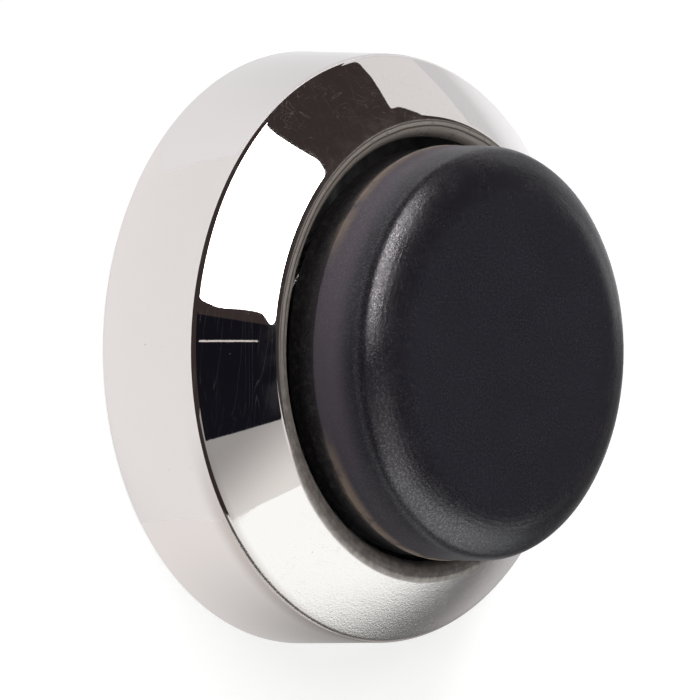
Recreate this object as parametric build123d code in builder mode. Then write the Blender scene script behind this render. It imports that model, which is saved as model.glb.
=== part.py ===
from build123d import *
import os
from math import asin, atan2, cos, degrees, hypot, radians, sin

# Floor door holder with a sprung magnet head. All sizes in millimetres.
# The origin is the centre of the footprint on the floor, and +Z points up, along the axis of the
# round body. A door swings against the rubber head, and the magnet inside it holds the door's plate.
# Four groups of pieces move apart from each other:
#   base     screwed to the floor: gasket, plate, bush, spring seat, stop ring, O-ring
#   cover    pushed over the base, pulls straight up to free the screws
#   plunger  stem and carrier, pushed down against the spring
#   head     magnet and rubber, turning on the plunger's swivel screw

# ---------------------------------------------------------------- driving dimensions
# cover
cover_radius = 30.0  # outside, at the floor
sheet = 1.0  # thickness of the drawn sheet
ridge_radius = 29.4  # outside corner between the wall and the cone
ridge_height = 11.3
ridge_fillet = 1.0
rim_height = 16.6  # top of the rolled rim
rim_roll = 1.3  # outside radius of the roll
mouth_radius = 21.0
collar_length = 1.5  # straight part of the rim, turned down inside
floor_edge_break = 0.15

# rubber head
head_height = 27.0
head_radius = 20.5  # at the mould's parting line
parting_height = 18.9
parting_step = 0.12  # the lower mould half is this much smaller
skirt_radius = 20.2  # inside the mouth of the cover
skirt_bottom = 15.2
skirt_taper_start = 16.6
shoulder_radius = 20.35  # where the drafted side would meet the sloping shoulder if the edge were sharp
shoulder_height = 24.5
shoulder_round = 1.9
face_radius = 17.4  # where the shoulder would meet the flat face
face_round = 8.0
lip_radius = 15.9  # hole in the lip that grips under the magnet cup
skirt_round = 0.4

# travel and play
stroke = 3.0  # how far the head can be pushed in
play = 0.05  # axial play of faces that slide on each other
running_gap = 0.03  # radial clearance of the stem in its bush
swivel_gap = 0.06  # radial clearance of the swivel screw in the head

# base
gasket_thickness = 0.8
gasket_radius = 28.2
plate_radius = 28.6
plate_thickness = 3.2
boss_radius = 8.0
boss_top = 10.0
screw_circle_radius = 23.8
screw_count = 3
screw_hole_radius = 2.0
screw_sink_radius = 3.5
gasket_hole_radius = 2.6
gasket_recess_radius = 7.8  # hole in the middle, round the clip recess
rib_width = 1.6
rib_height = 1.4
rib_start = 13.2
rib_end = 26.4
o_ring_section_radius = 0.75
o_ring_circle_radius = 28.05
o_ring_height = 2.2
groove_width = 1.7
groove_bottom_radius = 27.25

# bush, stem and clip
stem_radius = 3.0
stem_end = 3.6
bush_radius = 5.0
bush_flange_radius = 7.2
bush_flange_thickness = 0.8
clip_recess_radius = 6.8
clip_bottom = 4.4
clip_thickness = 0.6
clip_radius = 5.6
clip_groove_radius = 2.4
clip_relief_radius = 3.7
clip_mouth_width = 4.2
clip_prongs = 3
clip_prong_width = 1.6
stem_washer_thickness = 0.6
stem_washer_radius = 6.2
spigot_radius = 2.6

# spring and what it bears on
wire_radius = 0.6
coil_radius = 10.2
coil_turns = 4.75
seat_thickness = 0.5
seat_inner_radius = 8.15
seat_outer_radius = 12.2
seat_lip_height = 0.9
stop_ring_inner_radius = 3.6
stop_ring_outer_radius = 6.9

# carrier and swivel
carrier_bottom = 14.8
carrier_thickness = 1.6
carrier_radius = 15.2
carrier_skirt_inner_radius = 11.2
carrier_skirt_outer_radius = 12.2
carrier_skirt_depth = 1.2
slip_washer_thickness = 0.5
slip_washer_inner_radius = 3.4
slip_washer_outer_radius = 13.0
thread_radius = 2.0
thread_depth = 8.0  # tapped hole in the stem
thread_length = 7.0  # on the swivel screw
shoulder_screw_radius = 2.5
screw_head_radius = 4.2
screw_head_height = 2.2
hex_key = 3.0  # across flats
hex_depth = 1.4
bearing_washer_thickness = 0.4

# magnet
cup_radius = 18.2
cup_wall = 1.6
cup_floor = 1.5
cup_top = 25.4
cup_corner = 0.9
core_radius = 6.8
core_counterbore_radius = 4.6
core_counterbore_depth = 3.5
magnet_inner_radius = 8.2
magnet_outer_radius = 15.2
magnet_top = 25.2
assembly_gap = 0.05  # glue or push-in gap between pieces that don't move apart

edge_break = 0.25  # small chamfer on turned and cast edges
cut_margin = 1.0  # how far a cutting shape stands outside what it cuts

# ---------------------------------------------------------------- derived heights
plate_top = gasket_thickness + plate_thickness
clip_top = clip_bottom + clip_thickness
stem_washer_top = clip_top + stem_washer_thickness
bush_bottom = stem_washer_top + play
bush_top = boss_top + bush_flange_thickness
carrier_top = carrier_bottom + carrier_thickness
slip_washer_top = carrier_top + slip_washer_thickness
cup_bottom = slip_washer_top + play
cup_floor_top = cup_bottom + cup_floor
seat_top = plate_top + seat_thickness
stop_ring_top = carrier_bottom - stroke - play
bearing_washer_bottom = cup_top - core_counterbore_depth
bearing_washer_top = bearing_washer_bottom + bearing_washer_thickness
screw_head_bottom = bearing_washer_top + play
screw_head_top = screw_head_bottom + screw_head_height
swivel_bore_radius = shoulder_screw_radius + swivel_gap
rib_angle = 180 / screw_count  # half-way between two screws
rib_middle_radius = (rib_start + rib_end) / 2
prong_middle_radius = (clip_groove_radius + clip_radius) / 2

os.makedirs("parts", exist_ok=True)


def save(piece, label):
    """Labels one finished piece and writes it as its own STEP file."""
    piece.part.label = label
    export_step(piece.part, f"parts/{label}.step")


# ================================================================ base
# The gasket is cut from sheet: it lies between the plate and the floor.
with BuildPart() as base_gasket:
    with BuildSketch():
        Circle(gasket_radius)
        Circle(gasket_recess_radius, mode=Mode.SUBTRACT)
        with PolarLocations(screw_circle_radius, screw_count):
            Circle(gasket_hole_radius, mode=Mode.SUBTRACT)
    extrude(amount=gasket_thickness)
save(base_gasket, "base_gasket")

# The cast plate: a disc with an O-ring groove round its edge, a guide boss in the middle with a
# recess under it for the clip, three countersunk holes and three stiffening ribs between them.
with BuildPart() as base_plate:
    with BuildSketch(Plane.XY.offset(gasket_thickness)):
        Circle(plate_radius)
    extrude(amount=plate_thickness)
    chamfer(edges().group_by(Axis.Z)[-1], edge_break)
    with BuildSketch(Plane.XY.offset(plate_top)):
        with PolarLocations(rib_middle_radius, screw_count, start_angle=rib_angle):
            SlotOverall(rib_end - rib_start, rib_width)
    extrude(amount=rib_height)
    with BuildSketch(Plane.XY.offset(plate_top)):
        Circle(boss_radius)
    extrude(amount=boss_top - plate_top)
    chamfer(edges().group_by(Axis.Z)[-1], edge_break)
    with BuildSketch(Plane.XY.offset(gasket_thickness)):
        Circle(clip_recess_radius)
    extrude(amount=bush_bottom - gasket_thickness, mode=Mode.SUBTRACT)
    with BuildSketch(Plane.XY.offset(bush_bottom)):
        Circle(bush_radius)
    extrude(amount=boss_top - bush_bottom, mode=Mode.SUBTRACT)
    with BuildSketch(Plane.XY.offset(o_ring_height - groove_width / 2)):
        Circle(plate_radius + cut_margin)
        Circle(groove_bottom_radius, mode=Mode.SUBTRACT)
    extrude(amount=groove_width, mode=Mode.SUBTRACT)
    with Locations(Plane.XY.offset(plate_top)):
        with PolarLocations(screw_circle_radius, screw_count):
            CounterSinkHole(screw_hole_radius, screw_sink_radius, plate_thickness, counter_sink_angle=90)
save(base_plate, "base_plate")

# The O-ring in the plate's edge is what holds the cover.
with BuildPart() as cover_o_ring:
    with BuildSketch(Plane.XZ):
        with Locations((o_ring_circle_radius, o_ring_height)):
            Circle(o_ring_section_radius)
    revolve(axis=Axis.Z)
save(cover_o_ring, "cover_o_ring")

# A flanged bush pressed into the boss guides the stem.
with BuildPart() as guide_bush:
    with BuildSketch(Plane.XY.offset(bush_bottom)):
        Circle(bush_radius)
    extrude(amount=boss_top - bush_bottom)
    with BuildSketch(Plane.XY.offset(boss_top)):
        Circle(bush_flange_radius)
    extrude(amount=bush_flange_thickness)
    chamfer(edges().group_by(Axis.Z)[-1], edge_break)
    with Locations(Plane.XY.offset(bush_top)):
        Hole(stem_radius + running_gap)
save(guide_bush, "guide_bush")

# A rubber ring on the bush takes the knock when the head is pushed right in.
with BuildPart() as stop_ring:
    with BuildSketch(Plane.XY.offset(bush_top)):
        Circle(stop_ring_outer_radius)
        Circle(stop_ring_inner_radius, mode=Mode.SUBTRACT)
    extrude(amount=stop_ring_top - bush_top)
    fillet(edges().group_by(Axis.Z)[-1], edge_break)
save(stop_ring, "stop_ring")

# A pressed dish keeps the lower end of the spring central.
with BuildPart() as spring_seat:
    with BuildSketch(Plane.XY.offset(plate_top)):
        Circle(seat_outer_radius)
        Circle(seat_inner_radius, mode=Mode.SUBTRACT)
    extrude(amount=seat_thickness)
    with BuildSketch(Plane.XY.offset(seat_top)):
        Circle(seat_outer_radius)
        Circle(seat_outer_radius - seat_thickness, mode=Mode.SUBTRACT)
    extrude(amount=seat_lip_height)
save(spring_seat, "spring_seat")

# ================================================================ cover
# The outside runs up the slightly tapered wall, over the ridge, up the cone that touches the rolled
# rim, round the roll and down the collar. The sheet lies inside that line. The wall starts a little
# below the floor and is cut off flat there.
wall_taper = (cover_radius - ridge_radius) / ridge_height
roll_centre_radius = mouth_radius + rim_roll
roll_centre_height = rim_height - rim_roll
ridge_to_roll = hypot(ridge_radius - roll_centre_radius, roll_centre_height - ridge_height)
cone_slope = degrees(
    atan2(roll_centre_height - ridge_height, ridge_radius - roll_centre_radius)
    + asin(rim_roll / ridge_to_roll)
)
roll_start = (
    roll_centre_radius + rim_roll * sin(radians(cone_slope)),
    roll_centre_height + rim_roll * cos(radians(cone_slope)),
)

with BuildPart() as cover:
    with BuildSketch(Plane.XZ):
        with BuildLine():
            wall_start = (cover_radius + wall_taper * sheet, -sheet)
            outside = Polyline(wall_start, (ridge_radius, ridge_height), roll_start)
            fillet(outside.vertices().sort_by(Axis.Y)[1], ridge_fillet)
            roll = CenterArc(
                (roll_centre_radius, roll_centre_height), rim_roll, 90 - cone_slope, 90 + cone_slope
            )
            Line(roll @ 1, (mouth_radius, roll_centre_height - collar_length))
            offset(amount=sheet, side=Side.LEFT)
        make_face()
    revolve(axis=Axis.Z)
    split(bisect_by=Plane.XY, keep=Keep.TOP)
    chamfer(edges().group_by(Axis.Z)[0], floor_edge_break)
save(cover, "cover")

# ================================================================ plunger
# The stem slides in the bush. Its spigot is riveted into the carrier, and the swivel screw's thread
# goes down its middle.
with BuildPart() as guide_stem:
    with BuildSketch(Plane.XY.offset(stem_end)):
        Circle(stem_radius)
    extrude(amount=carrier_bottom - stem_end)
    chamfer(edges().group_by(Axis.Z)[0], 2 * edge_break)
    with BuildSketch(Plane.XY.offset(carrier_bottom)):
        Circle(spigot_radius)
    extrude(amount=carrier_thickness)
    with BuildSketch(Plane.XY.offset(clip_bottom)):
        Circle(stem_radius + cut_margin)
        Circle(clip_groove_radius, mode=Mode.SUBTRACT)
    extrude(amount=clip_thickness, mode=Mode.SUBTRACT)
    with Locations(Plane.XY.offset(carrier_top)):
        Hole(thread_radius, depth=thread_depth)
save(guide_stem, "guide_stem")

with BuildPart() as stem_washer:
    with BuildSketch(Plane.XY.offset(clip_top)):
        Circle(stem_washer_radius)
        Circle(stem_radius + assembly_gap, mode=Mode.SUBTRACT)
    extrude(amount=stem_washer_thickness)
save(stem_washer, "stem_washer")

# The E-shaped clip snaps into the stem's groove from the side and stops the stem from coming out.
with BuildPart() as retaining_clip:
    with BuildSketch(Plane.XY.offset(clip_bottom)):
        Circle(clip_radius)
        Circle(clip_relief_radius, mode=Mode.SUBTRACT)
        with PolarLocations(prong_middle_radius, clip_prongs, start_angle=180 / clip_prongs):
            Rectangle(clip_radius - clip_groove_radius - edge_break, clip_prong_width)
        Circle(clip_groove_radius + assembly_gap, mode=Mode.SUBTRACT)
        with Locations((prong_middle_radius, 0)):
            Rectangle(clip_radius + clip_groove_radius, clip_mouth_width, mode=Mode.SUBTRACT)
    extrude(amount=clip_thickness)
save(retaining_clip, "retaining_clip")

# The carrier takes the spring's push, and a short skirt under it keeps the spring central.
with BuildPart() as head_carrier:
    with BuildSketch(Plane.XY.offset(carrier_bottom)):
        Circle(carrier_radius)
        Circle(spigot_radius, mode=Mode.SUBTRACT)
    extrude(amount=carrier_thickness)
    chamfer(edges().filter_by(GeomType.CIRCLE).sort_by(SortBy.RADIUS)[-2:], edge_break)
    with BuildSketch(Plane.XY.offset(carrier_bottom - carrier_skirt_depth)):
        Circle(carrier_skirt_outer_radius)
        Circle(carrier_skirt_inner_radius, mode=Mode.SUBTRACT)
    extrude(amount=carrier_skirt_depth)
save(head_carrier, "head_carrier")

with BuildPart() as slip_washer:
    with BuildSketch(Plane.XY.offset(carrier_top)):
        Circle(slip_washer_outer_radius)
        Circle(slip_washer_inner_radius, mode=Mode.SUBTRACT)
    extrude(amount=slip_washer_thickness)
save(slip_washer, "slip_washer")

# The shouldered screw is tight on the stem, and the head turns round its shoulder.
with BuildPart() as swivel_screw:
    with BuildSketch(Plane.XY.offset(carrier_top - thread_length)):
        Circle(thread_radius)
    extrude(amount=thread_length)
    with BuildSketch(Plane.XY.offset(carrier_top)):
        Circle(shoulder_screw_radius)
    extrude(amount=screw_head_bottom - carrier_top)
    with BuildSketch(Plane.XY.offset(screw_head_bottom)):
        Circle(screw_head_radius)
    extrude(amount=screw_head_height)
    chamfer(edges().group_by(Axis.Z)[-1], edge_break)
    with BuildSketch(Plane.XY.offset(screw_head_top)):
        RegularPolygon(hex_key / 2, 6, major_radius=False)
    extrude(amount=-hex_depth, mode=Mode.SUBTRACT)
save(swivel_screw, "swivel_screw")

# The spring stands between the seat and the carrier, with its ends ground flat.
wire_start = seat_top + wire_radius / 3
wire_end = carrier_bottom - wire_radius / 3
coil_pitch = (wire_end - wire_start) / coil_turns
with BuildPart() as return_spring:
    with BuildLine(Plane.XY.offset(wire_start)):
        coil = Helix(pitch=coil_pitch, height=wire_end - wire_start, radius=coil_radius)
    with BuildSketch(Plane(origin=coil @ 0, z_dir=coil % 0)):
        Circle(wire_radius)
    sweep(is_frenet=True)
    split(bisect_by=Plane.XY.offset(seat_top), keep=Keep.TOP)
    split(bisect_by=Plane.XY.offset(carrier_bottom), keep=Keep.BOTTOM)
save(return_spring, "return_spring")

# ================================================================ head
# A drawn steel cup and a central core carry the magnet's flux to the front.
with BuildPart() as magnet_cup:
    with BuildSketch(Plane.XY.offset(cup_bottom)):
        Circle(cup_radius)
    extrude(amount=cup_top - cup_bottom)
    fillet(edges().group_by(Axis.Z)[0], cup_corner)
    with BuildSketch(Plane.XY.offset(cup_floor_top)):
        Circle(cup_radius - cup_wall)
    extrude(amount=cup_top - cup_floor_top, mode=Mode.SUBTRACT)
    with Locations(Plane.XY.offset(cup_floor_top)):
        Hole(swivel_bore_radius)
save(magnet_cup, "magnet_cup")

with BuildPart() as pole_core:
    with BuildSketch(Plane.XY.offset(cup_floor_top)):
        Circle(core_radius)
    extrude(amount=cup_top - cup_floor_top)
    chamfer(edges().group_by(Axis.Z)[-1], edge_break)
    with Locations(Plane.XY.offset(cup_top)):
        CounterBoreHole(swivel_bore_radius, core_counterbore_radius, core_counterbore_depth)
save(pole_core, "pole_core")

with BuildPart() as ring_magnet:
    with BuildSketch(Plane.XY.offset(cup_floor_top)):
        Circle(magnet_outer_radius)
        Circle(magnet_inner_radius, mode=Mode.SUBTRACT)
    extrude(amount=magnet_top - cup_floor_top)
    chamfer(edges().group_by(Axis.Z)[-1], 2 * edge_break)
save(ring_magnet, "ring_magnet")

# A plastic sleeve keeps the magnet clear of the cup's wall.
with BuildPart() as magnet_sleeve:
    with BuildSketch(Plane.XY.offset(cup_floor_top)):
        Circle(cup_radius - cup_wall - assembly_gap)
        Circle(magnet_outer_radius + assembly_gap, mode=Mode.SUBTRACT)
    extrude(amount=magnet_top - cup_floor_top)
save(magnet_sleeve, "magnet_sleeve")

with BuildPart() as bearing_washer:
    with BuildSketch(Plane.XY.offset(bearing_washer_bottom)):
        Circle(core_counterbore_radius - assembly_gap)
        Circle(swivel_bore_radius, mode=Mode.SUBTRACT)
    extrude(amount=bearing_washer_thickness)
save(bearing_washer, "bearing_washer")

# The moulded rubber cap: a flat face with a rounded edge, sides that swell to the parting line, and
# a skirt with a lip that snaps under the magnet cup.
with BuildPart() as rubber_buffer:
    with BuildSketch(Plane.XZ):
        with BuildLine():
            Polyline(
                (0, cup_top),
                (cup_radius, cup_top),
                (cup_radius, cup_bottom),
                (lip_radius, cup_bottom),
                (lip_radius, skirt_bottom),
                (skirt_radius, skirt_bottom),
                (skirt_radius, skirt_taper_start),
                (head_radius - parting_step, parting_height),
                (head_radius, parting_height),
                (shoulder_radius, shoulder_height),
                (face_radius, head_height),
                (0, head_height),
                close=True,
            )
        make_face()
        fillet(vertices().group_by(Axis.Y)[-1].sort_by(Axis.X)[-1], face_round)
        fillet(vertices().sort_by_distance((shoulder_radius, shoulder_height))[0], shoulder_round)
        fillet(vertices().group_by(Axis.Y)[0], skirt_round)
    revolve(axis=Axis.Z)
save(rubber_buffer, "rubber_buffer")
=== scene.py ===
"""Looks of the floor door holder: detailed cover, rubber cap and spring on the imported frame, with the
materials, studio and camera. Lengths are in millimetres up to the moment a mesh is made, and angles in
degrees. The holder's axis is +Z, and the floor is z = 0."""

import math

import bmesh
import bpy
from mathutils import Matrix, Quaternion, Vector, noise


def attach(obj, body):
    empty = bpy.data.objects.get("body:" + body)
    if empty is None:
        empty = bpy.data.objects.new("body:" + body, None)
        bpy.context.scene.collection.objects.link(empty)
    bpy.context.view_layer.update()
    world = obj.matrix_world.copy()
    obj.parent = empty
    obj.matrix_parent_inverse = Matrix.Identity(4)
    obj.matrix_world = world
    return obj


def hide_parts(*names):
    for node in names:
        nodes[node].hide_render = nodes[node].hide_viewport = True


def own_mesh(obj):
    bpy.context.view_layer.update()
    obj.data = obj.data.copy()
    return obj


MM = 0.001

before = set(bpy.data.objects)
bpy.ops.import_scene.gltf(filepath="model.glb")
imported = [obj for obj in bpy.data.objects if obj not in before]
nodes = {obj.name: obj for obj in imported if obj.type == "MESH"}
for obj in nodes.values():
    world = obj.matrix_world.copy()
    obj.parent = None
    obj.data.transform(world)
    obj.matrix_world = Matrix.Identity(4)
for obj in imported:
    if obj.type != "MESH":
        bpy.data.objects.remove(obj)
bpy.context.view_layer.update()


# ================================================================ mesh helpers
def fillet(before, corner, after, radius, step=4.0):
    """Points of the arc that rounds a corner of an outline."""
    a = (before - corner).normalized()
    b = (after - corner).normalized()
    half = a.angle(b) / 2
    setback = radius / math.tan(half)
    start, end = corner + a * setback, corner + b * setback
    centre = corner + (a + b).normalized() * (radius / math.sin(half))
    turn = math.pi - 2 * half
    count = max(3, math.ceil(math.degrees(turn) / step))
    first, last = start - centre, end - centre
    points = []
    for i in range(count + 1):
        t = i / count
        ray = first * math.sin((1 - t) * turn) + last * math.sin(t * turn)
        points.append(centre + ray / math.sin(turn))
    return points


def rounded(corners, closed=True):
    """An outline from (radius, height, rounding) corners, with extra points beside each arc so that the
    straight stretches keep their own normals."""
    at = [Vector((r, z)) for r, z, _ in corners]
    points = []
    count = len(corners)
    for i, (_, _, rounding) in enumerate(corners):
        if rounding and (closed or 0 < i < count - 1):
            points += fillet(at[i - 1], at[i], at[(i + 1) % count], rounding)
        else:
            points.append(at[i])
    full = []
    for i, point in enumerate(points):
        full.append(point)
        if not closed and i == len(points) - 1:
            break
        run = points[(i + 1) % len(points)] - point
        if run.length > 0.4:
            pieces = max(1, math.ceil(run.length / 1.2))
            spots = [0.05 / run.length] + [k / pieces for k in range(1, pieces)] + [1 - 0.05 / run.length]
            full += [point + run * s for s in spots]
    return full


def offset_line(points, distance):
    """The outline moved sideways by a distance, to the right of its direction."""
    moved = []
    for i, point in enumerate(points):
        sides = []
        for a, b in ((i - 1, i), (i, i + 1)):
            if 0 <= a and b < len(points):
                run = (points[b] - points[a]).normalized()
                sides.append(Vector((run.y, -run.x)))
        mitre = sum(sides, Vector((0, 0))).normalized()
        moved.append(point + mitre * (distance / mitre.dot(sides[0])))
    return moved


def finish_mesh(name, vertices, faces, sharp=35):
    mesh = bpy.data.meshes.new(name)
    mesh.from_pydata([v * MM for v in vertices], [], faces)
    work = bmesh.new()
    work.from_mesh(mesh)
    bmesh.ops.remove_doubles(work, verts=work.verts, dist=1e-8)
    bmesh.ops.recalc_face_normals(work, faces=work.faces)
    work.to_mesh(mesh)
    work.free()
    mesh.shade_smooth()
    mesh.set_sharp_from_angle(angle=math.radians(sharp))
    piece = bpy.data.objects.new(name, mesh)
    bpy.context.scene.collection.objects.link(piece)
    return piece


def lathe(name, outline, segments, shape=None):
    """Turns a closed outline about Z. shape(radius, angle, height) may move each point a little."""
    vertices = []
    for s in range(segments):
        angle = 2 * math.pi * s / segments
        for point in outline:
            r, z = (point.x, point.y) if shape is None else shape(point.x, angle, point.y)
            vertices.append(Vector((r * math.cos(angle), r * math.sin(angle), z)))
    size = len(outline)
    faces = []
    for s in range(segments):
        here, there = s * size, (s + 1) % segments * size
        for i in range(size):
            j = (i + 1) % size
            if outline[i].x < 1e-6 and outline[j].x < 1e-6:
                continue
            faces.append((here + i, there + i, there + j, here + j))
    return finish_mesh(name, vertices, faces)


def stand_for(piece, node, body):
    """The piece takes a CAD node's place."""
    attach(piece, body)
    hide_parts(node)
    return piece


finish_of = {}
for slot_name, slot_nodes in (
    ("polished_steel", ["cover"]),
    ("buffer_rubber", ["rubber_buffer"]),
    ("seal_rubber", ["cover_o_ring", "stop_ring"]),
    ("gasket_foam", ["base_gasket"]),
    ("zinc_casting", ["base_plate"]),
    ("sintered_bronze", ["guide_bush"]),
    ("plated_steel", ["spring_seat", "stem_washer", "head_carrier", "magnet_cup", "pole_core"]),
    ("ground_steel", ["guide_stem"]),
    ("spring_steel", ["retaining_clip", "return_spring"]),
    ("blackened_steel", ["swivel_screw"]),
    ("ferrite", ["ring_magnet"]),
    ("natural_nylon", ["slip_washer", "magnet_sleeve", "bearing_washer"]),
):
    for node_name in slot_nodes:
        finish_of[node_name] = slot_name


# ================================================================ cover
SHEET = 1.0
OUTER = [Vector(p) for p in ((30.0, 0.0), (29.4, 11.3), (21.0, 18.0), (21.0, 13.8))]
OUTER_ROUNDING = (0.15, 1.0, 1.3, 0.12)
INNER_ROUNDING = (0.12, 0.3, 0.3, 0.12)
CROWN = 0.10  # bulge of the sloping face
CROWN_MIDDLE = 26.2
CROWN_HALF = 3.3

inner = offset_line(OUTER, -SHEET)
inner[0].y = 0.0
cover_corners = [(p.x, p.y, r) for p, r in zip(OUTER, OUTER_ROUNDING)]
cover_corners += [(p.x, p.y, r) for p, r in reversed(list(zip(inner, INNER_ROUNDING)))]


def crown(r, angle, z):
    """The drawn sheet isn't quite a cone: its sloping face bulges by a tenth of a millimetre."""
    along = (OUTER[2] - OUTER[1]).normalized()
    across = Vector((-along.y, along.x)) if along.x > 0 else Vector((along.y, -along.x))
    height = (Vector((r, z)) - OUTER[1]).dot(across)
    if z < 10.6 or abs(height) > 0.75 or r < 21.5:
        return r, z
    u = max(-1.1, min(1.1, (r - CROWN_MIDDLE) / CROWN_HALF))
    moved = Vector((r, z)) + across * (CROWN * (1 - u * u))
    return moved.x, moved.y


cover = lathe("cover_shell", rounded(cover_corners), 416, crown)
stand_for(cover, "cover", "cover")


# ================================================================ rubber cap
PARTING = 18.9
SKIN_OFFSET = 0.4  # towards +X


def rubber_shape(r, angle, z):
    """A moulding's small faults: soft waves in the skin, a ragged flash at the parting line, and a skin
    that sits a little to one side of the magnet."""
    ring = Vector((math.cos(angle), math.sin(angle), 0))
    if r > 18.6 and z < 26.2:
        r += 0.03 * noise.noise(ring * 2.5 + Vector((0, 0, z * 0.12)))
        near = math.exp(-(((z - PARTING) / 0.12) ** 2))
        flash = 0.5 + 0.5 * noise.noise(ring * 9 + Vector((3, 1, 7)))
        ragged = 0.5 + 0.5 * noise.noise(ring * 60 + Vector((1, 8, 2)))
        r += near * (0.03 + 0.06 * flash * ragged)
    if r > 18.5 or z > 25.6:
        r += SKIN_OFFSET * math.cos(angle) * min(1, r / 15)
    return r, z


rubber_corners = (
    (0, 25.4, 0),
    (18.2, 25.4, 0.3),
    (18.2, 16.95, 0.2),
    (15.9, 16.95, 0.2),
    (15.9, 15.2, 0.3),
    (20.2, 15.2, 0.4),
    (20.2, 16.6, 0.5),
    (20.38, PARTING - 0.35, 0),
    (20.38, PARTING - 0.12, 0),
    (20.40, PARTING - 0.04, 0),
    (20.46, PARTING, 0),
    (20.50, PARTING + 0.04, 0),
    (20.49, PARTING + 0.12, 0),
    (20.47, PARTING + 0.35, 0),
    (20.35, 24.5, 1.9),
    (17.4, 27.0, 8.0),
    (0, 27.0, 0),
)
buffer = lathe("buffer_cap", rounded(rubber_corners), 416, rubber_shape)
stand_for(buffer, "rubber_buffer", "head")


# ================================================================ spring
def spring_points():
    """Middle line of the wire: closed end turns, and an open coil between them."""
    radius, wire, bottom, top = 10.2, 0.6, 4.5, 14.8
    low, high = bottom + wire * 0.35, top - wire * 0.35
    closed_turns, open_turns = 0.9, 3.4
    total = 2 * closed_turns + open_turns
    closed_rise = 2 * wire * 1.02
    count = 420
    points = []
    for i in range(count + 1):
        turn = total * i / count
        if turn < closed_turns:
            t = turn / closed_turns
            z = low + closed_rise * closed_turns * t * t * 0.55
        elif turn > total - closed_turns:
            t = (total - turn) / closed_turns
            z = high - closed_rise * closed_turns * t * t * 0.55
        else:
            t = (turn - closed_turns) / open_turns
            ease = t * t * (3 - 2 * t)
            start, end = low + closed_rise * closed_turns * 0.55, high - closed_rise * closed_turns * 0.55
            z = start + (end - start) * (0.35 * ease + 0.65 * t)
        a = 2 * math.pi * turn
        points.append(Vector((radius * math.cos(a), radius * math.sin(a), z)))
    return points, wire, bottom, top


def coil(name):
    points, wire, bottom, top = spring_points()
    sides = 16
    vertices, faces = [], []
    for i, point in enumerate(points):
        along = (points[min(i + 1, len(points) - 1)] - points[max(i - 1, 0)]).normalized()
        out = Vector((point.x, point.y, 0)).normalized()
        up = along.cross(out).normalized()
        for s in range(sides):
            a = 2 * math.pi * s / sides
            at = point + (out * math.cos(a) + up * math.sin(a)) * wire
            at.z = min(max(at.z, bottom), top)
            vertices.append(at)
    for i in range(len(points) - 1):
        for s in range(sides):
            n = (s + 1) % sides
            faces.append((i * sides + s, i * sides + n, (i + 1) * sides + n, (i + 1) * sides + s))
    faces.append(tuple(range(sides)))
    faces.append(tuple((len(points) - 1) * sides + s for s in reversed(range(sides))))
    return finish_mesh(name, vertices, faces)


spring = coil("spring_coil")
stand_for(spring, "return_spring", "plunger")
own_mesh(spring)


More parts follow.
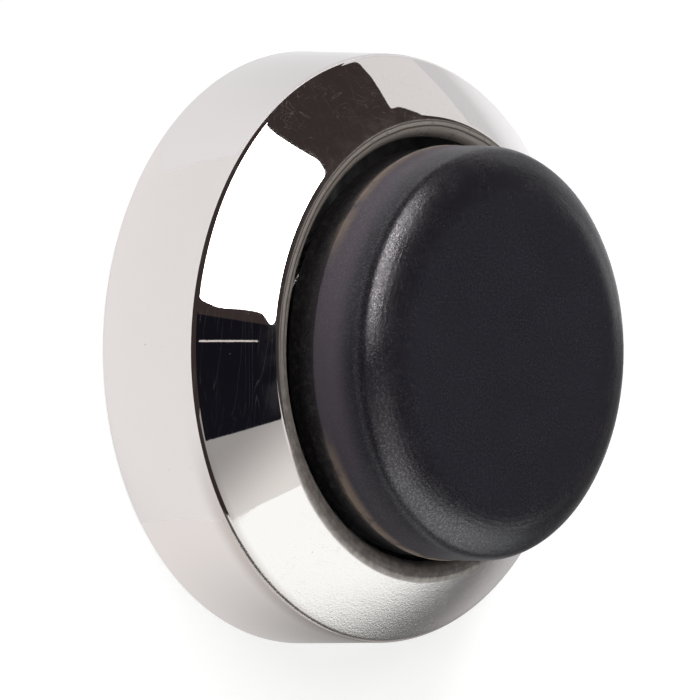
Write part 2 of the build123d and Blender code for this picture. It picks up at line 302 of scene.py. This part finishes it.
# ================================================================ materials
class Material:
    """A Principled material and short ways to add nodes to it. Its textures are in millimetres."""

    def __init__(self, name, colour, metallic, roughness, **more):
        self.block = bpy.data.materials.new(name)
        self.block.use_nodes = True
        self.tree = self.block.node_tree
        self.shader = self.tree.nodes["Principled BSDF"]
        self.shader.inputs["Base Color"].default_value = (*colour, 1)
        self.shader.inputs["Metallic"].default_value = metallic
        self.shader.inputs["Roughness"].default_value = roughness
        for socket, value in more.items():
            self.shader.inputs[socket.replace("_", " ")].default_value = value
        place = self.tree.nodes.new("ShaderNodeTexCoord")
        self.place = self.add("ShaderNodeMapping", {"Vector": place.outputs["Object"], "Scale": (1000,) * 3})
        self.normal = None

    def add(self, kind, inputs, output=0, **properties):
        node = self.tree.nodes.new(kind)
        for key, value in properties.items():
            setattr(node, key, value)
        for key, value in inputs.items():
            if isinstance(value, bpy.types.NodeSocket):
                self.tree.links.new(value, node.inputs[key])
            else:
                node.inputs[key].default_value = value
        return node.outputs[output]

    def noise(self, per_mm, detail=2.0, rough=0.5, distortion=0.0, at=None):
        return self.add("ShaderNodeTexNoise", {"Vector": at or self.place, "Scale": per_mm,
            "Detail": detail, "Roughness": rough, "Distortion": distortion})

    def spots(self, per_mm, at=None):
        return self.add("ShaderNodeTexVoronoi", {"Vector": at or self.place, "Scale": per_mm})

    def stretched(self, turn, along, across):
        """Coordinates for streaks: features are `across` mm wide and `along` mm long."""
        turned = self.add("ShaderNodeMapping", {"Vector": self.place,
            "Rotation": tuple(math.radians(a) for a in turn)})
        return self.add("ShaderNodeMapping", {"Vector": turned, "Scale": (1 / along, 1 / across, 1 / across)})

    def levels(self, value, low, high, to_low=0.0, to_high=1.0):
        return self.add("ShaderNodeMapRange", {"Value": value, "From Min": low, "From Max": high,
            "To Min": to_low, "To Max": to_high}, interpolation_type="SMOOTHSTEP")

    def math(self, operation, a, b=0.0):
        return self.add("ShaderNodeMath", {0: a, 1: b}, operation=operation)

    def blend(self, amount, a, b):
        """Mixes two colours, each a tuple or a socket."""
        node = self.tree.nodes.new("ShaderNodeMix")
        node.data_type = "RGBA"
        for index, value in ((0, amount), (6, a), (7, b)):
            if isinstance(value, bpy.types.NodeSocket):
                self.tree.links.new(value, node.inputs[index])
            else:
                node.inputs[index].default_value = value if index == 0 else (*value, 1)
        return node.outputs[2]

    def split(self):
        """The place's X, Y and Z."""
        node = self.tree.nodes.new("ShaderNodeSeparateXYZ")
        self.tree.links.new(self.place, node.inputs[0])
        return tuple(node.outputs)

    def radius(self):
        """Distance from the holder's axis."""
        x, y, _ = self.split()
        flat = self.add("ShaderNodeCombineXYZ", {"X": x, "Y": y})
        return self.add("ShaderNodeVectorMath", {0: flat}, output="Value", operation="LENGTH")

    def bump(self, height, depth_mm, strength=1.0):
        inputs = {"Height": height, "Distance": depth_mm * MM, "Strength": strength}
        if self.normal is not None:
            inputs["Normal"] = self.normal
        self.normal = self.add("ShaderNodeBump", inputs)
        self.tree.links.new(self.normal, self.shader.inputs["Normal"])

    def colour(self, socket):
        self.tree.links.new(socket, self.shader.inputs["Base Color"])

    def roughness(self, socket):
        self.tree.links.new(socket, self.shader.inputs["Roughness"])

    def metallic(self, socket):
        self.tree.links.new(socket, self.shader.inputs["Metallic"])

    def specular(self, socket):
        self.tree.links.new(socket, self.shader.inputs["Specular IOR Level"])


def scratches(m, layers, low=0.70, high=0.76):
    """Fine hairline scratches: several sheets of sparse streaks, each at its own angle."""
    total = None
    for turn, along, across in layers:
        streak = m.levels(m.noise(1.0, detail=1.0, at=m.stretched(turn, along, across)), low, high)
        total = streak if total is None else m.math("MAXIMUM", total, streak)
    return total


def hairlines(m, layers, width=0.07):
    """Long, thin, slightly curved lines: contours of a stretched noise, broken up by a second noise."""
    total = None
    for turn, along, across, count in layers:
        place = m.stretched(turn, along, across)
        value = m.math("MULTIPLY", m.noise(1.0, detail=0.0, at=place), count)
        line = m.levels(m.math("PINGPONG", value, 0.5), width, 0.0)
        broken = m.levels(m.noise(1.7, detail=2.0, at=place), 0.50, 0.58)
        line = m.math("MULTIPLY", line, broken)
        total = line if total is None else m.math("MAXIMUM", total, line)
    return total


CONE_SLOPE = 38.6  # degrees above the floor


def polished_steel():
    m = Material("polished_steel", (0.69, 0.655, 0.65), 1.0, 0.03)
    across, back, height = m.split()
    radius = m.radius()
    # Each sheet of hairlines lies in the cone's surface on its own side of the cover.
    left = hairlines(m, (
        ((0, CONE_SLOPE, 12), 15, 1.5, 13),
        ((0, CONE_SLOPE, -38), 12, 1.4, 12),
        ((0, CONE_SLOPE, 70), 14, 1.6, 14),
        ((0, CONE_SLOPE, 102), 16, 1.5, 12),
    ))
    front = hairlines(m, (((180 - CONE_SLOPE, 0, 3), 45, 1.5, 9), ((180 - CONE_SLOPE, 0, -5), 38, 1.3, 8)))
    hair = m.math("MAXIMUM", m.math("MULTIPLY", left, m.levels(back, -20.0, -17.0)),
        m.math("MULTIPLY", front, m.levels(back, -17.0, -20.0, 0.0, 0.45)))
    rubbed = m.levels(m.noise(0.13, detail=3.0), 0.30, 0.62, 0.25, 1.0)
    marks = m.math("MULTIPLY", m.math("MULTIPLY", hair, rubbed), m.levels(height, 10.6, 11.4, 0.1, 1.0))
    specks = m.math("MULTIPLY", m.levels(m.spots(0.45), 0.035, 0.02), m.levels(m.noise(0.08), 0.5, 0.6))
    inward = m.math("SUBTRACT", radius, m.levels(across, 4.0, 16.0, 0.0, 0.5))
    rim = m.math("MULTIPLY", m.levels(inward, 22.85, 22.60), m.levels(height, 15.4, 15.9))
    haze = m.levels(m.noise(0.05, detail=2.0), 0.35, 0.75, 0.008, 0.030)
    sandy = m.levels(across, 15.0, 22.0, 0.01, 1.0)
    ring_side = m.levels(across, -6.0, 8.0)

    pitch = 0.5  # of the turned lines in the rim
    along = m.math("MULTIPLY", m.math("SUBTRACT", radius, height), 2 * math.pi / pitch)
    wander = m.math("MULTIPLY", m.noise(0.25, detail=2.0), 2.5)
    lines = m.math("SINE", m.math("ADD", along, wander))
    grooved = m.math("MULTIPLY", rim, m.levels(ring_side, 0.0, 1.0, 1.0, 0.25))
    groove = m.math("MULTIPLY", m.levels(lines, 0.2, 0.9), grooved)
    nick = m.math("MULTIPLY", m.levels(m.noise(0.9, detail=4.0, rough=0.65), 0.56, 0.62), rim)

    rough = m.math("ADD", haze, m.math("MULTIPLY", marks, 0.03))
    rough = m.math("ADD", rough, m.math("MULTIPLY", specks, 0.3))
    m.roughness(m.math("ADD", rough, m.math("MULTIPLY", rim, 0.34)))
    smeared = m.math("MULTIPLY", m.levels(radius, 24.6, 23.2), m.levels(m.noise(0.5, detail=3.0), 0.35, 0.7))
    dull = m.math("ADD", m.math("MULTIPLY", marks, 0.13), m.math("MULTIPLY", rim, 0.5))
    dull = m.math("ADD", dull, m.math("MULTIPLY", smeared, 0.035))
    m.metallic(m.math("SUBTRACT", 1.0, dull))
    dirt = m.levels(m.noise(1.1, detail=4.0, rough=0.65), 0.35, 0.68)
    # The rim is pale beige on its -X side and darker, mottled brown on its +X side.
    mottled_dark_brown = m.blend(dirt, (0.41, 0.37, 0.35), (0.25, 0.22, 0.205))
    rim_by_side = m.blend(ring_side, (0.60, 0.55, 0.50), mottled_dark_brown)
    # Painted shade: the rim's turned grooves are coloured dark, most on its -X side.
    groove_shade = m.blend(m.math("MULTIPLY", groove, 0.9), rim_by_side, (0.14, 0.12, 0.105))
    worn = m.blend(m.math("MULTIPLY", nick, 0.4), groove_shade, (0.30, 0.265, 0.23))
    # A brown tint round the ridge on the +X side, from 9 mm up.
    brown_tint = m.math("MULTIPLY", m.levels(radius, 28.5, 29.3), m.levels(across, 6.0, 18.0, 0.0, 0.6))
    brown_tint = m.math("MULTIPLY", brown_tint, m.levels(height, 9.0, 11.0))
    clean = m.blend(brown_tint, (0.69, 0.655, 0.65), (0.40, 0.35, 0.325))
    m.colour(m.blend(specks, m.blend(rim, clean, worn), (0.42, 0.39, 0.36)))
    m.bump(m.noise(0.8, detail=1.0), 0.0004)
    m.bump(m.math("MULTIPLY", m.noise(4.6, detail=3.0, rough=0.65), sandy), 0.021)
    m.bump(m.math("SUBTRACT", 0.0, groove), 0.010)
    return m


def buffer_rubber():
    m = Material("buffer_rubber", (0.0085, 0.0085, 0.0115), 0.0, 0.34, Specular_IOR_Level=0.5,
        Specular_Tint=(0.99, 0.94, 1.0, 1))
    across, back, height = m.split()
    cloud = m.levels(m.noise(0.16, detail=4.0, rough=0.6), 0.35, 0.7)
    grain = m.noise(5.5, detail=3.0, rough=0.65)
    fleck = m.levels(m.noise(5.0, detail=2.0, rough=0.7), 0.42, 0.68)
    lint = m.math("MULTIPLY", m.levels(m.spots(0.75), 0.05, 0.02), m.levels(m.noise(0.12), 0.52, 0.6))
    scuff = scratches(m, (((15, 5, 60), 4, 0.10), ((60, 20, -20), 3, 0.08)), 0.70, 0.78)
    side = m.levels(height, 25.3, 23.6)
    neck = m.levels(height, 19.4, 18.3)
    bloom = m.math("MULTIPLY", neck, m.levels(m.noise(1.6, detail=4.0, rough=0.7), 0.46, 0.72))

    clean = m.blend(cloud, (0.0095, 0.0094, 0.0148), (0.0125, 0.0122, 0.0185))
    pale = m.math("MULTIPLY", fleck, m.levels(side, 0.0, 1.0, 0.8, 0.15))
    flecked = m.blend(pale, clean, (0.028, 0.026, 0.031))
    # Pale dust on the lower side wall, full on the -X half and fading out towards +X. The dust is real;
    # keeping it to the -X side, where the key light falls, is painted light.
    dust_and_painted_light = m.math("MULTIPLY", m.levels(height, 24.0, 21.0), m.levels(across, 26.0, 0.0))
    dusty_and_lit = m.blend(dust_and_painted_light, flecked, (0.076, 0.063, 0.081))
    necked = m.blend(neck, dusty_and_lit, (0.014, 0.0133, 0.0155))
    bloomed = m.blend(m.math("MULTIPLY", bloom, 0.7), necked, (0.055, 0.050, 0.046))
    # A brown band along the parting line where |x| is over 7 mm: dust on the flash, with a painted highlight.
    seam = m.levels(m.math("ABSOLUTE", m.math("SUBTRACT", height, PARTING + 0.25)), 1.15, 0.1)
    patchy = m.levels(m.noise(0.35, detail=4.0, rough=0.6), 0.30, 0.56)
    ends = m.levels(m.math("ABSOLUTE", across), 7.0, 13.0)
    seam_dust_and_highlight = m.math("MULTIPLY", m.math("MULTIPLY", seam, patchy), ends)
    with_seam_highlight = m.blend(m.math("MULTIPLY", seam_dust_and_highlight, 0.9), bloomed, (0.21, 0.16, 0.125))
    speckled = m.blend(m.math("MULTIPLY", lint, 0.6), with_seam_highlight, (0.20, 0.19, 0.18))
    m.colour(m.blend(m.math("MULTIPLY", scuff, 0.08), speckled, (0.16, 0.155, 0.15)))

    m.roughness(m.math("ADD", m.levels(m.noise(0.3, detail=3.0), 0.3, 0.7, 0.22, 0.29),
        m.math("MULTIPLY", side, 0.16)))
    shine = m.levels(fleck, 0.0, 1.0, 0.68, 1.38)
    # Painted shade: on the side wall the sheen is cut by half on the -X half and by 0.85 on the +X half, and
    # below the face it is cut by up to 0.85 on the +Y half.
    sheen_shade_by_side = m.math("MULTIPLY", side, m.levels(across, -10.0, 4.0, 0.5, 0.85))
    sheen_shade_plus_y = m.math("MULTIPLY", m.levels(back, -9.0, 5.0, 0.0, 0.85), m.levels(height, 26.95, 26.3))
    m.specular(m.math("MULTIPLY", shine, m.math("SUBTRACT", 1.0, m.math("MAXIMUM", sheen_shade_by_side, sheen_shade_plus_y))))
    m.bump(m.math("MULTIPLY", grain, m.levels(side, 0.0, 1.0, 1.0, 0.4)), 0.022)
    m.bump(m.noise(0.7, detail=2.0), 0.006)
    m.bump(scuff, 0.003)
    return m


def seal_rubber():
    m = Material("seal_rubber", (0.016, 0.016, 0.016), 0.0, 0.42)
    talc = m.levels(m.noise(0.8, detail=4.0, rough=0.7), 0.5, 0.78)
    m.colour(m.blend(talc, (0.014, 0.014, 0.014), (0.055, 0.054, 0.052)))
    m.roughness(m.levels(talc, 0.0, 1.0, 0.38, 0.7))
    m.bump(m.noise(9.0, detail=3.0), 0.006)
    return m


def gasket_foam():
    m = Material("gasket_foam", (0.03, 0.03, 0.032), 0.0, 0.85)
    cells = m.spots(3.2)
    m.colour(m.blend(m.levels(cells, 0.15, 0.6), (0.012, 0.012, 0.013), (0.05, 0.05, 0.052)))
    m.roughness(m.levels(cells, 0.0, 0.7, 0.7, 0.95))
    m.bump(cells, 0.06)
    m.bump(m.noise(1.2, detail=3.0), 0.05)
    return m


def zinc_casting():
    m = Material("zinc_casting", (0.42, 0.43, 0.44), 1.0, 0.45)
    flow = m.noise(0.35, detail=6.0, rough=0.6, distortion=1.2)
    pits = m.levels(m.spots(0.9), 0.09, 0.03)
    tone = m.blend(m.levels(flow, 0.3, 0.7), (0.34, 0.345, 0.35), (0.52, 0.53, 0.54))
    m.colour(m.blend(pits, tone, (0.16, 0.16, 0.16)))
    m.roughness(m.levels(m.noise(0.6, detail=5.0), 0.3, 0.7, 0.34, 0.58))
    m.bump(m.noise(3.5, detail=5.0, rough=0.6), 0.03)
    m.bump(pits, -0.05)
    return m


def sintered_bronze():
    m = Material("sintered_bronze", (0.50, 0.30, 0.13), 1.0, 0.4)
    pores = m.spots(7.0)
    tone = m.blend(m.levels(m.noise(0.6, detail=4.0), 0.3, 0.7), (0.42, 0.245, 0.10), (0.60, 0.38, 0.18))
    m.colour(m.blend(m.levels(pores, 0.22, 0.08), tone, (0.10, 0.055, 0.025)))
    m.roughness(m.levels(pores, 0.0, 0.5, 0.55, 0.30))
    m.bump(pores, 0.012)
    return m


def plated_steel():
    m = Material("plated_steel", (0.55, 0.56, 0.58), 1.0, 0.28)
    bloom = m.levels(m.noise(0.25, detail=5.0, rough=0.6), 0.32, 0.7)
    m.colour(m.blend(bloom, (0.50, 0.52, 0.56), (0.62, 0.61, 0.585)))
    hair = scratches(m, (((0, 0, 25), 8, 0.08), ((30, 15, -65), 6, 0.08)))
    m.roughness(m.math("ADD", m.levels(bloom, 0.0, 1.0, 0.22, 0.36), m.math("MULTIPLY", hair, 0.25)))
    m.bump(m.noise(5.0, detail=3.0), 0.002)
    m.bump(hair, 0.002)
    return m


def ground_steel():
    m = Material("ground_steel", (0.58, 0.575, 0.565), 1.0, 0.18)
    rings = m.noise(1.0, detail=3.0, at=m.stretched((0, 90, 0), 0.05, 4))
    m.colour(m.blend(m.levels(rings, 0.35, 0.65), (0.52, 0.515, 0.50), (0.63, 0.625, 0.615)))
    m.roughness(m.levels(rings, 0.3, 0.7, 0.14, 0.26))
    m.bump(rings, 0.002)
    return m


def spring_steel():
    m = Material("spring_steel", (0.34, 0.335, 0.33), 1.0, 0.3)
    draw = m.noise(1.2, detail=5.0, rough=0.65)
    brown_tint = m.levels(m.noise(0.5, detail=3.0), 0.55, 0.8)
    tone = m.blend(m.levels(draw, 0.3, 0.7), (0.27, 0.27, 0.27), (0.42, 0.415, 0.405))
    m.colour(m.blend(m.math("MULTIPLY", brown_tint, 0.5), tone, (0.20, 0.13, 0.08)))
    m.roughness(m.levels(draw, 0.3, 0.7, 0.24, 0.42))
    m.bump(m.noise(8.0, detail=3.0), 0.003)
    return m


def blackened_steel():
    m = Material("blackened_steel", (0.035, 0.035, 0.038), 1.0, 0.35)
    worn = m.levels(m.noise(1.1, detail=5.0, rough=0.65), 0.55, 0.75)
    m.colour(m.blend(worn, (0.03, 0.03, 0.034), (0.16, 0.155, 0.15)))
    m.roughness(m.levels(worn, 0.0, 1.0, 0.32, 0.48))
    m.bump(m.noise(7.0, detail=3.0), 0.003)
    return m


def ferrite():
    m = Material("ferrite", (0.028, 0.027, 0.027), 0.0, 0.5)
    grind = m.noise(1.0, detail=2.0, at=m.stretched((0, 0, 30), 12, 0.12))
    m.colour(m.blend(m.levels(grind, 0.35, 0.65), (0.022, 0.021, 0.021), (0.042, 0.041, 0.041)))
    m.roughness(m.levels(grind, 0.3, 0.7, 0.38, 0.6))
    m.bump(grind, 0.004)
    m.bump(m.noise(6.0, detail=4.0), 0.006)
    return m


def natural_nylon():
    m = Material("natural_nylon", (0.62, 0.59, 0.50), 0.0, 0.4,
        Subsurface_Weight=0.15, Subsurface_Scale=0.001)
    grease = m.levels(m.noise(0.4, detail=3.0), 0.5, 0.75)
    m.colour(m.blend(grease, (0.64, 0.61, 0.53), (0.50, 0.45, 0.34)))
    m.roughness(m.levels(grease, 0.0, 1.0, 0.45, 0.25))
    m.bump(m.noise(4.0, detail=3.0), 0.004)
    return m


finishes = {
    make.__name__: make().block
    for make in (polished_steel, buffer_rubber, seal_rubber, gasket_foam, zinc_casting, sintered_bronze,
        plated_steel, ground_steel, spring_steel, blackened_steel, ferrite, natural_nylon)
}


def paint(piece, finish):
    piece.data.materials.clear()
    piece.data.materials.append(finishes[finish])


for node_name, node in nodes.items():
    paint(node, finish_of[node_name])
for piece, node_name in ((cover, "cover"), (buffer, "rubber_buffer"), (spring, "return_spring")):
    paint(piece, finish_of[node_name])


# ================================================================ studio
def emitter(name, colour, strength):
    """A material that only glows. Returns it with its Emission node, to link a pattern to."""
    block = bpy.data.materials.new(name)
    block.use_nodes = True
    block.node_tree.nodes.clear()
    glow = block.node_tree.nodes.new("ShaderNodeEmission")
    glow.inputs["Color"].default_value = (*colour, 1)
    glow.inputs["Strength"].default_value = strength
    out = block.node_tree.nodes.new("ShaderNodeOutputMaterial")
    block.node_tree.links.new(glow.outputs[0], out.inputs["Surface"])
    return block, glow


def direction(azimuth, elevation):
    """Unit vector. Azimuth is from +X towards +Y, elevation above the floor."""
    a, e = math.radians(azimuth), math.radians(elevation)
    return Vector((math.cos(a) * math.cos(e), math.sin(a) * math.cos(e), math.sin(e)))


AIM_POINT = Vector((0, 0, 0.013))


def board(name, corners, distance, block, corner=0.15, facing=None):
    """A flat board whose corners are seen from the object in the given (azimuth, elevation) directions.
    It stands square to the facing direction, or to their middle, and has its origin there. corner is the
    share of each side that is rounded off."""
    rays = [direction(*c) for c in corners]
    middle = direction(*facing) if facing else sum(rays, Vector()).normalized()
    at = [AIM_POINT + ray * (distance / ray.dot(middle)) for ray in rays]
    outline = []
    for i, here in enumerate(at):
        before = here.lerp(at[i - 1], corner)
        after = here.lerp(at[(i + 1) % len(at)], corner)
        for k in range(9):
            t = k / 8
            outline.append(before.lerp(here, t).lerp(here.lerp(after, t), t))
    centre = AIM_POINT + middle * distance
    mesh = bpy.data.meshes.new(name)
    mesh.from_pydata([p - centre for p in outline], [], [tuple(range(len(outline)))])
    mesh.materials.append(block)
    made = bpy.data.objects.new(name, mesh)
    made.location = centre
    bpy.context.scene.collection.objects.link(made)
    made.visible_camera = False
    return made


def reflection_only(board):
    """The board shows in polished and glossy surfaces, and neither lights the floor nor shades it."""
    board.visible_diffuse = False
    board.visible_shadow = False
    return board


def faded(block, glow, strength, inner, outer, edge):
    """The glow falls from its full strength inside one radius to its edge strength at another, in metres."""
    graded(block, glow, None, inner, outer, strength, edge)


def graded(block, glow, towards, start, end, strength, last):
    """The glow passes from one strength to the last between two distances in metres from the board's
    centre, measured along a world direction, or all round when there's none."""
    tree = block.node_tree
    place = tree.nodes.new("ShaderNodeTexCoord")
    measure = tree.nodes.new("ShaderNodeVectorMath")
    measure.operation = "DOT_PRODUCT" if towards else "LENGTH"
    tree.links.new(place.outputs["Object"], measure.inputs[0])
    if towards:
        measure.inputs[1].default_value = direction(*towards)
    fade = tree.nodes.new("ShaderNodeMapRange")
    fade.interpolation_type = "SMOOTHSTEP"
    for socket, value in (("From Min", start), ("From Max", end), ("To Min", strength), ("To Max", last)):
        fade.inputs[socket].default_value = value
    tree.links.new(measure.outputs["Value"], fade.inputs["Value"])
    tree.links.new(fade.outputs[0], glow.inputs["Strength"])


key_glow, _ = emitter("key_softbox", (1.0, 0.99, 0.975), 9.2)
key_corners = (
    (179, 30.5), (180, 34.5), (177, 37.5), (174.3, 38.9), (175.6, 41.2),
    (-174, 47), (-154, 54.9), (-131, 60.5), (-102.5, 63.6), (-110.6, 61.7),
    (-110.2, 59), (-108.3, 55.5), (-110.5, 52.9), (-121, 50.6), (-150, 42),
)
board("key_light", key_corners, 0.9, key_glow, 0.3, facing=(-155.5, 52.5))

fill_glow, fill_node = emitter("fill_reflector", (0.97, 1.01, 0.99), 1.0)
graded(fill_glow, fill_node, (2, -48.5), 0.270, 0.448, 1.42, 0.17)
fill_corners = ((-25, 34), (-5, 55), (22, 51), (66, 25), (58, 1), (10, -2), (-34, 4))
board("fill_board", fill_corners, 0.9, fill_glow, 0.03, facing=(28, 38))

top_glow, _ = emitter("top_light", (1.0, 1.0, 1.0), 4.0)
top_board = board("top_board", ((45, 79), (135, 79), (-135, 79), (-45, 79)), 1.2, top_glow, corner=0.3)
top_board.visible_glossy = False

band_glow, band_node = emitter("grey_band", (1.0, 0.99, 0.95), 1.0)
graded(band_glow, band_node, (77, 12), -0.20, 0.14, 0.42, 1.05)
band_corners = ((-64, 36), (-2, 36), (10, 66), (-64, 72))
reflection_only(board("grey_band", band_corners, 1.05, band_glow, 0.05))
flag_black, _ = emitter("black_flag", (0.0085, 0.0083, 0.0125), 1.0)
flag_corners = ((-50.5, 48), (-40.5, 66), (-103, 72), (-104, 46))
reflection_only(board("camera_flag", flag_corners, 0.7, flag_black, 0.05))
tube_glow, _ = emitter("thin_tube", (1.0, 0.93, 0.88), 0.9)
tube_corners = ((-92.6, 53.5), (-91.8, 53.5), (-92.9, 61.5), (-93.8, 61.5))
reflection_only(board("thin_tube", tube_corners, 0.66, tube_glow, 0.1))

sweep_glow, _ = emitter("white_sweep", (1.0, 0.995, 0.985), 0.95)
sweep_corners = (
    (150, -2), (150, 14.5), (144.4, 11.4), (143.4, 13), (143.2, 17.6),
    (140.5, 15.4), (134.3, 11.6), (131, 14.5), (92, 14), (92, -2),
)
reflection_only(board("low_sweep", sweep_corners, 0.8, sweep_glow, 0.2, facing=(117.75, 6.65)))
wall_glow, _ = emitter("grey_wall", (0.9, 0.94, 1.05), 0.13)
wall_corners = ((115, 22), (115, 66), (65, 66), (65, 22))
reflection_only(board("back_wall", wall_corners, 0.9, wall_glow, 0.2))
horizon_glow, _ = emitter("horizon_strip", (1.0, 0.98, 0.96), 0.19)
horizon_corners = ((34, -1.5), (34, 9), (90, 9), (90, -1.5))
reflection_only(board("horizon_strip", horizon_corners, 1.3, horizon_glow, 0.02))

floor_mesh = bpy.data.meshes.new("studio_floor")
floor_sides = ((-2.5, -2.5), (2.5, -2.5), (2.5, 2.5), (-2.5, 2.5))
floor_mesh.from_pydata([(x, y, -0.00003) for x, y in floor_sides], [], [(0, 1, 2, 3)])
floor = bpy.data.objects.new("studio_floor", floor_mesh)
bpy.context.scene.collection.objects.link(floor)
floor_look = bpy.data.materials.new("pale_floor")
floor_look.use_nodes = True
floor_shader = floor_look.node_tree.nodes["Principled BSDF"]
floor_shader.inputs["Base Color"].default_value = (0.66, 0.66, 0.66, 1)
floor_shader.inputs["Roughness"].default_value = 0.9
floor_shader.inputs["Specular IOR Level"].default_value = 0.0
floor_shader.inputs["Emission Color"].default_value = (1, 1, 1, 1)
floor_shader.inputs["Emission Strength"].default_value = 0.62
floor_mesh.materials.append(floor_look)


def floor_card(name, points, centre, height, block):
    """A card that lies on the floor, glows with painted light and shade of the floor, and shows only in the
    holder's polished faces. Its glow is measured from the centre."""
    mesh = bpy.data.meshes.new(name)
    mesh.from_pydata([p - centre for p in points], [], [tuple(range(len(points)))])
    mesh.materials.append(block)
    card = bpy.data.objects.new(name, mesh)
    card.location = centre + Vector((0, 0, height))
    bpy.context.scene.collection.objects.link(card)
    card.visible_camera = False
    return reflection_only(card)


def sector(first, last, inner, outer):
    """Corners of a slice of a ring round the holder, between two azimuths and two radii in metres."""
    rays = [direction(a, 0) for a in range(first, last, 3)]
    return [ray * inner for ray in rays] + [ray * outer for ray in reversed(rays)]


# Painted shade: a dimmer region of floor on the +X+Y side, darker further out, seen only in reflections.
card_glow, card_node = emitter("painted_floor_shade", (1, 0.99, 0.98), 1.0)
faded(card_glow, card_node, 0.58, 0.045, 0.15, 0.20)
floor_card("painted_floor_shade", sector(15, 95, 0.042, 1.2), Vector(), 0.0002, card_glow)
# Painted light: a brighter region of floor on the -X+Y side, seen only in reflections.
light_glow, light_node = emitter("painted_floor_light", (0.98, 0.985, 1.0), 1.0)
faded(light_glow, light_node, 1.12, 0.05, 0.13, 0.82)
floor_card("painted_floor_light", sector(96, 151, 0.05, 1.2), Vector(), 0.0002, light_glow)
# Painted light: the floor beside the cover's foot on the -X side, brighter towards -Y, seen only in
# reflections.
near_glow, near_node = emitter("painted_floor_light_near", (0.985, 0.99, 1.0), 1.0)
graded(near_glow, near_node, (-90, 0), 0.0, 0.026, 0.89, 1.09)
near_middle = Vector((-0.045, 0, 0))
near_sides = ((-25, -26, 0), (25, -26, 0), (25, 30, 0), (-25, 30, 0))
near_corners = [near_middle + Vector(side) * MM for side in near_sides]
floor_card("painted_floor_light_near", near_corners, near_middle, 0.0001, near_glow)
# Painted shadow: the holder's shadow on the floor on its +X side, seen only in reflections.
spot_glow, spot_node = emitter("painted_floor_shadow", (1, 0.98, 0.96), 1.0)
faded(spot_glow, spot_node, 0.30, 0.0, 0.040, 1.08)
spot_middle = direction(15, 0) * 0.039
spot_corners = [spot_middle + direction(a, 0) * 0.040 for a in range(0, 360, 10)]
floor_card("painted_floor_shadow", spot_corners, spot_middle, 0.0001, spot_glow)

backdrop_glow, _ = emitter("pale_backdrop", (1, 1, 1), 0.95)
bpy.ops.mesh.primitive_uv_sphere_add(segments=48, ring_count=24, radius=6)
backdrop = bpy.context.object
backdrop.name = "backdrop"
backdrop.data.materials.append(backdrop_glow)
backdrop.visible_diffuse = False
backdrop.visible_glossy = False
backdrop.visible_transmission = False
backdrop.visible_volume_scatter = False
backdrop.visible_shadow = False

world = bpy.data.worlds.new("dark_room")
bpy.context.scene.world = world
world.use_nodes = True
world.node_tree.nodes["Background"].inputs["Color"].default_value = (0.050, 0.038, 0.036, 1)

bpy.context.scene.view_settings.view_transform = "Standard"
bpy.context.scene.cycles.caustics_refractive = False


# ================================================================ camera
EYE = Vector((0, -0.37005, 0.3315))
AIM = Vector((0.00023, 0.00631, 0))
ROLL = 90.65

camera = bpy.data.objects.new("camera", bpy.data.cameras.new("camera"))
bpy.context.scene.collection.objects.link(camera)
camera.data.sensor_width = 36
camera.data.lens = 252
camera.data.clip_start = 0.01
camera.location = EYE
camera.rotation_mode = "QUATERNION"
camera.rotation_quaternion = (AIM - EYE).to_track_quat("-Z", "Y") @ Quaternion((0, 0, 1), math.radians(ROLL))
bpy.context.scene.camera = camera


# ================================================================ box corners
def corners(box):
    return [[round(v, 6) for v in corner] for corner in box]
